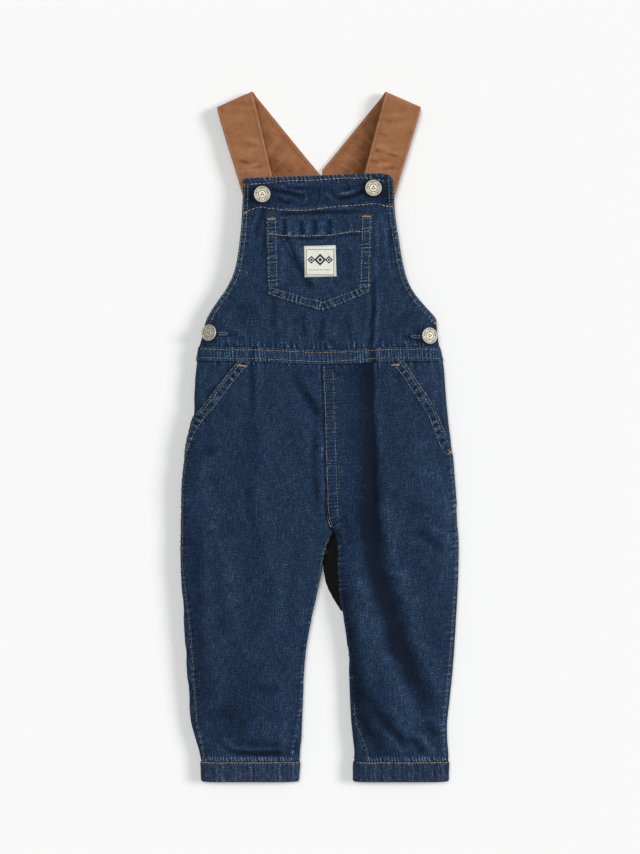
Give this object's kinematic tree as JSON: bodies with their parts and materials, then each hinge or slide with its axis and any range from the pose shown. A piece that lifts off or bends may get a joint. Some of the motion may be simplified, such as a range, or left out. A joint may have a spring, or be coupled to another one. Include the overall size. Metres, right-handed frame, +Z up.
{
  "type": "kids dungarees",
  "caption": "Child's denim dungarees laid flat and face up: bib with a pointed patch pocket, canvas shoulder straps folded over, metal tack buttons, slanted hip pockets and turned-up hems.",
  "frame": {"origin": "on the surface the garment lies on, under the middle of its length and width", "axes": "+X towards the wearer's left, +Y from the hems to the shoulder straps, +Z up out of the garment's front"},
  "size_m": [0.265, 0.6555, 0.0243],
  "materials": {
    "denim": "washed dark indigo twill, matt",
    "canvas": "tan and rust yarn-dyed canvas, matt",
    "woven_patch": "cream woven patch, matt",
    "button_metal": "antiqued pewter tack button, satin"
  },
  "bodies": {
    "root": {"front_bib": "denim", "back_bib": "denim", "waist_band": "denim", "front_leg_right": "denim", "front_leg_left": "denim", "back_leg_right": "denim", "back_leg_left": "denim", "hip_panel_right": "denim", "hip_panel_left": "denim", "hem_right": "denim", "hem_left": "denim", "bib_pocket": "denim", "bib_patch": "woven_patch", "strap_right": "canvas", "strap_left": "canvas", "strap_button_right": "button_metal", "strap_button_left": "button_metal", "side_button_right": "button_metal", "side_button_left": "button_metal"}
  },
  "joints": []
}
